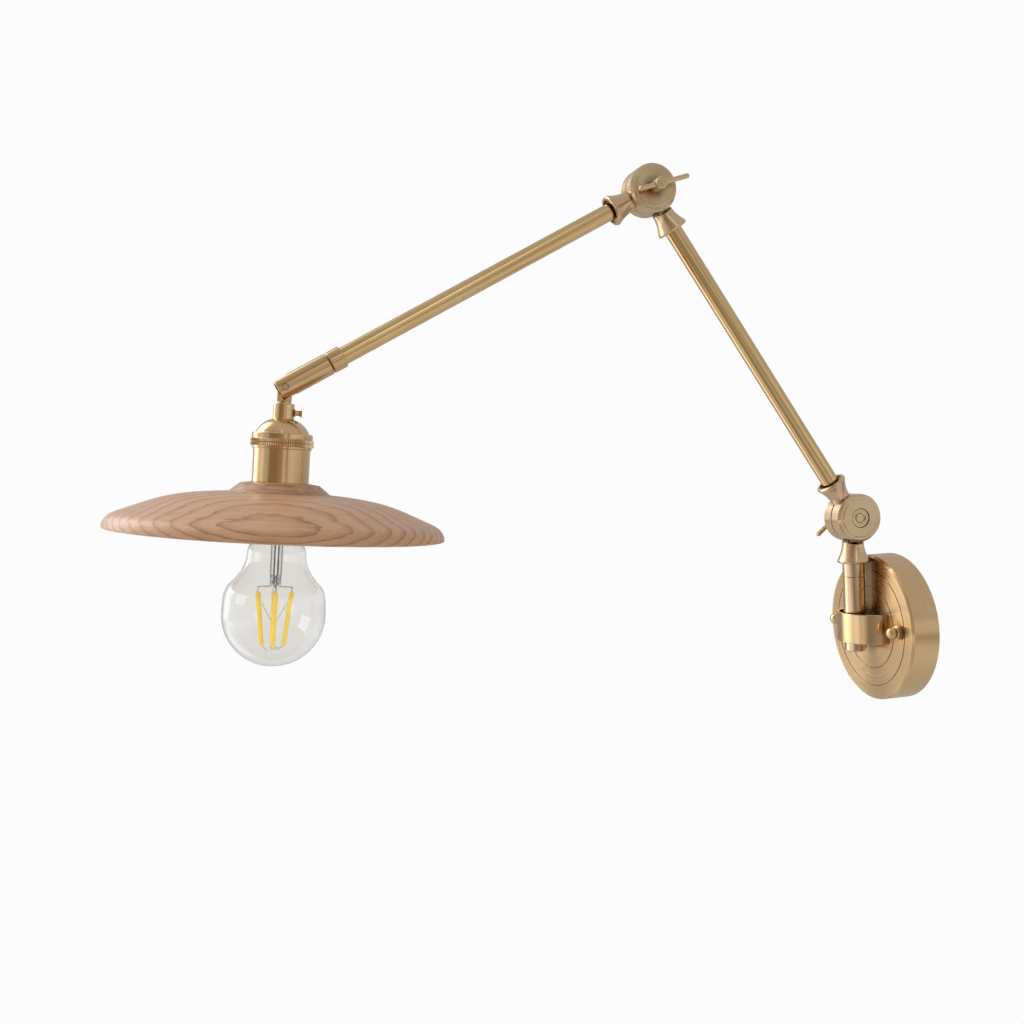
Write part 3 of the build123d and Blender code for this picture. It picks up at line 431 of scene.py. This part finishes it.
def shade_wood():
    """Pale wood with nested growth layers, long fibres and fine pores."""
    material, tree = new_material("shade_wood")
    place = vector(tree, "SUBTRACT", object_place(tree), tilt_point)
    front_way = hinge_way * cos(grain_turn) + side_way * sin(grain_turn)
    fibre_way = front_way.cross(lamp_way)
    layer_way = front_way * sin(grain_lean) - lamp_way * cos(grain_lean)
    shade = frame["nodes"]["shade"]
    corners = [shade.matrix_world @ corner.co - tilt_point for corner in shade.data.vertices]
    crest = max(corner.dot(layer_way) for corner in corners)

    along = scaled(tree, fibre_way, vector(tree, "DOT_PRODUCT", place, fibre_way))
    across = vector(tree, "SUBTRACT", place, along)
    slow = vector(tree, "ADD", across, scaled(tree, along, slow_stretch))
    fine = vector(tree, "ADD", across, scaled(tree, along, fine_stretch))
    depth = calc(tree, "SUBTRACT", crest, vector(tree, "DOT_PRODUCT", place, layer_way))
    sway = spread(tree, noise(tree, slow, sway_scale), -sway_reach, sway_reach)
    ripple = spread(tree, noise(tree, slow, ripple_scale, 3.0, 0.65), -ripple_reach, ripple_reach)
    bent = calc(tree, "MAXIMUM", calc(tree, "ADD", depth, calc(tree, "ADD", sway, ripple)), 0.0)
    count = calc(tree, "POWER", calc(tree, "DIVIDE", bent, first_layer), layer_growth)
    drawn = ramp(tree, calc(tree, "FRACT", count), [
        (0.0, wood_line), (0.05, wood_pale), (0.55, wood_pale),
        (0.84, wood_early), (0.94, wood_line), (1.0, wood_line),
    ])
    faded = spread(tree, noise(tree, slow, fade_scale, 3.0), *fade_range)
    rings = blend_colours(tree, faded, drawn, wood_body)

    drop = vector(tree, "DOT_PRODUCT", place, lamp_way)
    radius = vector(tree, "LENGTH", vector(tree, "SUBTRACT", place, scaled(tree, lamp_way, drop)))
    hub = eased(tree, radius, hub_radii[1], hub_radii[0], hub_limit)
    streak = noise(tree, fine, streak_scale, 3.0, 0.6)
    streaked = ramp(tree, streak, [
        (0.0, wood_line), (0.42, wood_line), (0.56, wood_early), (1.0, wood_pale),
    ])
    grown = blend_colours(tree, hub, rings, streaked)

    fibres = noise(tree, fine, fibre_scale, 3.0, 0.6)
    pores = ramp(tree, noise(tree, fine, pore_scale, 1.0), [
        (0.0, pore_deep), (0.36, pore_rim), (0.44, pore_free), (1.0, pore_free),
    ])
    pored = blend_colours(tree, pore_share, grown, pores, "MULTIPLY")
    cloud = spread(tree, noise(tree, slow, cloud_scale), *cloud_range)
    lightness = calc(
        tree, "MULTIPLY", spread(tree, fibres, *fibre_range), spread(tree, streak, *streak_range),
    )
    return surface(material, tree, {
        "Base Color": scaled(tree, pored, calc(tree, "MULTIPLY", cloud, lightness)),
        "Roughness": spread(tree, fibres, 0.42, 0.60),
        "Specular IOR Level": 0.5,
        "Coat Weight": 0.60,
        "Coat Roughness": 0.38,
        "Normal": bump(tree, fibres, 0.12, fibre_depth),
    })


def clear_glass(name, tint, edge, pinched=False):
    """Clear glass with painted shade where it is seen edge on, that lets lamp light through to what is
    inside it.
    """
    material, tree = new_material(name)
    place = object_place(tree)
    waves = noise(tree, place, wave_scale, 1.0)
    # Painted shade: the glass's colour turns dark where it is seen edge on.
    facing = node(tree, "ShaderNodeLayerWeight", {"Blend": 0.5}).outputs["Facing"]
    colour = ramp(tree, facing, [(0.0, tint), (edge[0], tint), (edge[1], glass_painted_edge), (1.0, glass_painted_edge)])
    if pinched:
        drop = vector(tree, "DOT_PRODUCT", vector(tree, "SUBTRACT", place, tilt_point), lamp_way)
        past_start = calc(tree, "GREATER_THAN", drop, pinch_span[0])
        before_end = calc(tree, "LESS_THAN", drop, pinch_span[1])
        inside = calc(tree, "MULTIPLY", past_start, before_end)
        streaks = spread(tree, noise(tree, place, pinch_scale), *pinch_range)
        colour = blend_colours(tree, calc(tree, "MULTIPLY", inside, streaks), colour, pinch_grey)
    glass = node(tree, "ShaderNodeBsdfPrincipled", {
        "Base Color": colour,
        "Roughness": 0.0,
        "IOR": 1.48,
        "Transmission Weight": 1.0,
        "Normal": bump(tree, waves, 0.02, wave_depth),
    })
    open_way = node(tree, "ShaderNodeBsdfTransparent", {"Color": (*tint, 1)})
    shadow = node(tree, "ShaderNodeLightPath").outputs["Is Shadow Ray"]
    mixed_output(tree, "ShaderNodeOutputMaterial", shadow, glass, open_way)
    return material


def speckled(name, dark, light, scale, roughness, metallic=0.0):
    """Plain moulded, plated or pressed surface with mottled colour and a fine tooth."""
    material, tree = new_material(name)
    grain = noise(tree, object_place(tree), scale, 3.0)
    return surface(material, tree, {
        "Base Color": blend_colours(tree, grain, dark, light),
        "Metallic": metallic,
        "Roughness": spread(tree, grain, roughness - 0.08, roughness + 0.08),
        "Normal": bump(tree, grain, 0.05, tooth_depth),
    })


def phosphor(name):
    """Yellow coating of the filaments: grainy, and brightened by a painted glow."""
    material, tree = new_material(name)
    grain = noise(tree, object_place(tree), coating_scale, 3.0)
    colour = blend_colours(tree, grain, phosphor_deep, phosphor_light)
    return surface(material, tree, {
        "Base Color": colour,
        "Roughness": spread(tree, grain, 0.45, 0.65),
        # Painted glow: the coating gives off light of its own though the filaments are unlit.
        "Emission Color": colour,
        "Emission Strength": coating_painted_glow,
        "Normal": bump(tree, grain, 0.3, tooth_depth),
    })


# Dressing of the solids


def dress(name, material, edge):
    """Give a solid its material, smooth shading and slightly eased edges."""
    piece = frame["nodes"][name]
    piece.data.materials.clear()
    piece.data.materials.append(material)
    for polygon in piece.data.polygons:
        polygon.use_smooth = True
    weld = piece.modifiers.new("weld", "WELD")
    weld.merge_threshold = weld_reach
    if edge:
        ease = piece.modifiers.new("ease", "BEVEL")
        ease.width = edge
        ease.segments = 2
        ease.limit_method = "ANGLE"
        ease.angle_limit = ease_angle
        flats = piece.modifiers.new("flats", "WEIGHTED_NORMAL")
        flats.weight = 100
    else:
        split = piece.modifiers.new("split", "EDGE_SPLIT")
        split.split_angle = split_angle


def brass_coats():
    """Brass materials, each with the names of the solids that it covers."""
    plate_low, plate_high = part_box("wall_plate")
    plate_centre = (plate_low + plate_high) / 2
    hoop_centre = Vector((0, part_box("swivel_hoop")[1].y, 0))
    knuckle_tone = {
        "light": knuckle_light, "deep": knuckle_deep, "roughness": 0.22, "lay_ratio": 0.8,
        "painted_shade_limit": 0.45, "painted_shade_reach": 6.0 * MM, "painted_shade_range": (0.90, 0.38),
    }
    tube_tone = {"light": tube_light, "deep": tube_deep, "roughness": 0.13, "painted_shade_limit": 0.3}
    # The plate's painted shade reaches far, so the plate darkens next to the post and the hoop.
    plate = brass(
        "brass_plate", plate_centre, out_way, 0.26, lay_ratio=0.85, relief=0.08,
        painted_shade_limit=0.7, painted_shade_reach=10.0 * MM, painted_shade_range=(0.90, 0.36),
    )
    hoop = brass("brass_hoop", hoop_centre, up_way, 0.17)
    post = brass("brass_post", post_foot, up_way, 0.14, light=knuckle_light, deep=knuckle_deep)
    lower_disc = brass("brass_lower_knuckle", lower_knuckle, hinge_way, **knuckle_tone)
    upper_disc = brass("brass_upper_knuckle", upper_knuckle, hinge_way, **knuckle_tone)
    shadowed_disc = brass(
        "brass_shadowed_knuckle", upper_knuckle, hinge_way, with_painted_shadow=True, **knuckle_tone,
    )
    lower_tube = brass("brass_lower_tube", lower_knuckle, lower_arm_way, **tube_tone)
    upper_tube = brass("brass_upper_tube", upper_knuckle, upper_arm_way, **tube_tone)
    ferrule = brass(
        "brass_ferrule", upper_knuckle, upper_arm_way, 0.15,
        light=ferrule_light, deep=ferrule_deep, painted_shade_limit=0.25,
    )
    holder = brass("brass_holder", tilt_point, lamp_way, 0.14)
    knurl = brass(
        "brass_knurl", tilt_point, lamp_way, 0.20, light=knurl_light, deep=knurl_deep,
        painted_shade_limit=0.3, painted_shade_reach=1.2 * MM, painted_shade_range=(0.80, 0.45),
    )
    thumb = brass("brass_thumbscrew", thumbscrew_point, thumbscrew_way, 0.20)
    return {
        plate: ["wall_plate", "cap_nuts"],
        hoop: ["swivel_hoop", "swivel_block"],
        post: ["post_tube", "post_sleeve", "post_end_plug"],
        lower_disc: [
            "lower_knuckle_rear", "lower_knuckle_front", "lower_knuckle_nut",
            "lower_clamp_screw", "lower_clamp_bar",
        ],
        upper_disc: ["upper_knuckle_nut", "upper_clamp_screw", "upper_clamp_bar"],
        shadowed_disc: ["upper_knuckle_rear", "upper_knuckle_front"],
        lower_tube: ["lower_arm_tube"],
        upper_tube: ["upper_arm_tube"],
        ferrule: ["ferrule_ring", "ferrule_stud", "ferrule_sleeve", "tilt_pin"],
        holder: ["tilt_tongue", "holder_cap", "socket_shell", "shade_ring"],
        knurl: ["knurled_ring"],
        thumb: ["holder_screw"],
    }


def other_coats():
    """The other materials, each with the names of the solids that it covers."""
    zinc = speckled(
        "zinc_steel", dark=(0.42, 0.42, 0.43), light=(0.62, 0.62, 0.62),
        scale=300.0, roughness=0.35, metallic=1.0,
    )
    nickel = speckled(
        "nickel_wire", dark=(0.90, 0.87, 0.81), light=(0.97, 0.95, 0.91), scale=900.0, roughness=0.45,
    )
    cap_metal = speckled(
        "cap_metal", dark=(0.66, 0.66, 0.65), light=(0.80, 0.80, 0.79),
        scale=240.0, roughness=0.30, metallic=1.0,
    )
    insulator = speckled(
        "white_insulator", dark=(0.78, 0.77, 0.72), light=(0.88, 0.87, 0.84), scale=400.0, roughness=0.22,
    )
    plastic = speckled(
        "terminal_plastic", dark=(0.68, 0.66, 0.58), light=(0.78, 0.76, 0.69), scale=500.0, roughness=0.45,
    )
    fibre = speckled(
        "pressed_fibre", dark=(0.09, 0.04, 0.025), light=(0.22, 0.11, 0.07), scale=900.0, roughness=0.75,
    )
    return {
        shade_wood(): ["shade"],
        clear_glass("bulb_clear", bulb_tint, bulb_edge): ["bulb_glass"],
        clear_glass("stem_clear", stem_tint, stem_edge, pinched=True): ["bulb_stem"],
        zinc: [
            "mounting_bar", "mounting_studs", "earth_screw", "block_screws", "post_retaining_rings",
            "centre_contact", "thread_shell",
        ],
        nickel: ["bulb_wires"],
        cap_metal: ["bulb_cap", "bulb_contact"],
        insulator: ["socket_core", "socket_skirt", "bulb_insulator"],
        plastic: ["terminal_block"],
        fibre: ["lower_friction_washer", "upper_friction_washer"],
        phosphor("phosphor"): ["bulb_filaments"],
    }


def dress_all():
    edges = {
        "wall_plate": plate_edge, "bulb_glass": 0, "bulb_stem": 0, "bulb_filaments": 0, "bulb_wires": 0,
        "knurled_ring": 0, "ferrule_sleeve": 0, "tilt_pin": 0,
    }
    for coats in (brass_coats(), other_coats()):
        for material, names in coats.items():
            for name in names:
                dress(name, material, edges.get(name, eased_edge))
    coating = frame["nodes"]["bulb_filaments"].modifiers.new("coating", "DISPLACE")
    coating.mid_level = 0.0
    coating.strength = coating_depth


# Pieces of the scene alone


def build_leads():
    """Two lead wires inside the bulb's glass stem."""
    material = speckled(
        "lead_metal", dark=(0.10, 0.095, 0.09), light=(0.20, 0.19, 0.18), scale=900.0, roughness=0.40,
    )
    steps = range(lead_sides)
    faces = []
    for step in steps:
        following = (step + 1) % lead_sides
        faces.append((step, lead_sides + step, lead_sides + following, following))
    faces.append(tuple(steps))
    faces.append(tuple(lead_sides + step for step in reversed(steps)))
    for name, side in (("stem_lead_left", -1), ("stem_lead_right", 1)):
        corners = []
        for station in lead_span:
            middle = tilt_point + lamp_way * station + side_way * side * lead_spread
            for step in steps:
                angle = radians(360 * step / lead_sides)
                corners.append(middle + (hinge_way * cos(angle) + side_way * sin(angle)) * lead_radius)
        mesh = bpy.data.meshes.new(name)
        mesh.from_pydata(corners, [], faces)
        for polygon in mesh.polygons:
            polygon.use_smooth = len(polygon.vertices) == 4
        mesh.materials.append(material)
        lead = bpy.data.objects.new(name, mesh)
        bpy.context.scene.collection.objects.link(lead)
        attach(lead, "lamp_head")


# Stage, light and camera


def seen_white(tree):
    """One for rays from the camera, from a mirror and through glass, and nought for the rest."""
    path = node(tree, "ShaderNodeLightPath")
    direct = calc(tree, "MAXIMUM", path.outputs["Is Camera Ray"], path.outputs["Is Transmission Ray"])
    return calc(tree, "MAXIMUM", direct, path.outputs["Is Glossy Ray"])


def build_floor():
    """A pale floor that is lit from above and looks as white as the ground."""
    level = cad_box[0][2] - floor_gap
    mesh = bpy.data.meshes.new("floor")
    corners = [(x * floor_half, y * floor_half, level) for x, y in ((-1, -1), (1, -1), (1, 1), (-1, 1))]
    mesh.from_pydata(corners, [], [(0, 1, 2, 3)])
    floor = bpy.data.objects.new("floor", mesh)
    bpy.context.scene.collection.objects.link(floor)
    material, tree = new_material("floor_white")
    tone = blend_colours(tree, noise(tree, object_place(tree), floor_scale), floor_deep, floor_light)
    lit = node(tree, "ShaderNodeBsdfDiffuse", {"Color": tone})
    plain = node(tree, "ShaderNodeEmission", {"Color": ground_white})
    mixed_output(tree, "ShaderNodeOutputMaterial", seen_white(tree), lit, plain)
    mesh.materials.append(material)
    floor.visible_glossy = False


def build_world():
    """A white ground wherever nothing else is seen."""
    world = bpy.data.worlds.new("ground")
    world.use_nodes = True
    bpy.context.scene.world = world
    tree = world.node_tree
    tree.nodes.clear()
    unlit = node(tree, "ShaderNodeBackground", {"Color": (0, 0, 0, 1)})
    plain = node(tree, "ShaderNodeBackground", {"Color": ground_white})
    mixed_output(tree, "ShaderNodeOutputWorld", seen_white(tree), unlit, plain)


def ring_colour(tree, turn_share, bands):
    """Colour of one ring of the studio by the share of a full turn."""
    return ramp(tree, turn_share, [
        (0.5 + degrees / 360, [level * part for part in tint])
        for tint, run in bands
        for degrees, level in run
    ])


def build_studio(centre, back, right):
    """Bright and dark panels far round the lamp, which light it and which the brass reflects."""
    material, tree = new_material("studio_panels")
    way = vector(tree, "NORMALIZE", object_place(tree))
    ahead = vector(tree, "DOT_PRODUCT", way, Vector((back.x, back.y, 0)).normalized())
    aside = vector(tree, "DOT_PRODUCT", way, right)
    turn = calc(tree, "DIVIDE", calc(tree, "ARCTAN2", aside, ahead), radians(360))
    turn_share = calc(tree, "ADD", turn, 0.5)
    height = vector(tree, "DOT_PRODUCT", way, up_way)
    around = ring_colour(tree, turn_share, studio_rings[0][1])
    for (below, _), (above, bands) in zip(studio_rings, studio_rings[1:]):
        share = eased(tree, height, below, above)
        around = blend_colours(tree, share, around, ring_colour(tree, turn_share, bands))
    steep = eased(tree, calc(tree, "ABSOLUTE", height), *studio_steep)
    upper_half = calc(tree, "GREATER_THAN", height, 0.0)
    ends = blend_colours(tree, upper_half, studio_floor, studio_ceiling)
    glow = node(tree, "ShaderNodeEmission", {"Color": blend_colours(tree, steep, around, ends)})
    node(tree, "ShaderNodeOutputMaterial", {"Surface": glow.outputs[0]})

    mesh = bpy.data.meshes.new("studio")
    form = bmesh.new()
    bmesh.ops.create_uvsphere(
        form, u_segments=studio_segments[0], v_segments=studio_segments[1], radius=studio_radius,
    )
    form.to_mesh(mesh)
    form.free()
    mesh.materials.append(material)
    studio = bpy.data.objects.new("studio", mesh)
    studio.location = centre
    studio.visible_camera = False
    studio.visible_transmission = False
    studio.visible_shadow = False
    bpy.context.scene.collection.objects.link(studio)


def soft_box(name, place, target, width, height, power):
    lamp = bpy.data.lights.new(name, "AREA")
    lamp.shape = "RECTANGLE"
    lamp.size = width
    lamp.size_y = height
    lamp.energy = power
    box = bpy.data.objects.new(name, lamp)
    box.location = place
    box.rotation_euler = (target - place).to_track_quat("-Z", "Y").to_euler()
    box.visible_glossy = False
    bpy.context.scene.collection.objects.link(box)


def build_camera(back, right, up):
    rolled_right = right * cos(camera_roll) + up * sin(camera_roll)
    rolled_up = up * cos(camera_roll) - right * sin(camera_roll)
    lens = bpy.data.cameras.new("camera")
    lens.sensor_width = sensor_width
    lens.lens = camera_focal * sensor_width
    lens.clip_start = clip_start
    camera = bpy.data.objects.new("camera", lens)
    turn = Matrix((rolled_right, rolled_up, back)).transposed()
    camera.matrix_world = Matrix.Translation(camera_place) @ turn.to_4x4()
    bpy.context.scene.collection.objects.link(camera)
    bpy.context.scene.camera = camera


def build_stage():
    back = Vector((
        sin(camera_yaw) * cos(camera_pitch), -cos(camera_yaw) * cos(camera_pitch), sin(camera_pitch),
    ))
    right = Vector((cos(camera_yaw), sin(camera_yaw), 0))
    up = back.cross(right)
    centre = (Vector(cad_box[0]) + Vector(cad_box[1])) / 2
    build_camera(back, right, up)
    build_world()
    build_studio(centre, back, right)
    build_floor()
    for name, (towards, across, above), width, height, power in soft_boxes:
        place = centre + back * towards + right * across + up * above
        soft_box(name, place, centre, width, height, power)
    bpy.context.scene.view_settings.view_transform = "Standard"


dress_all()
build_leads()
build_stage()
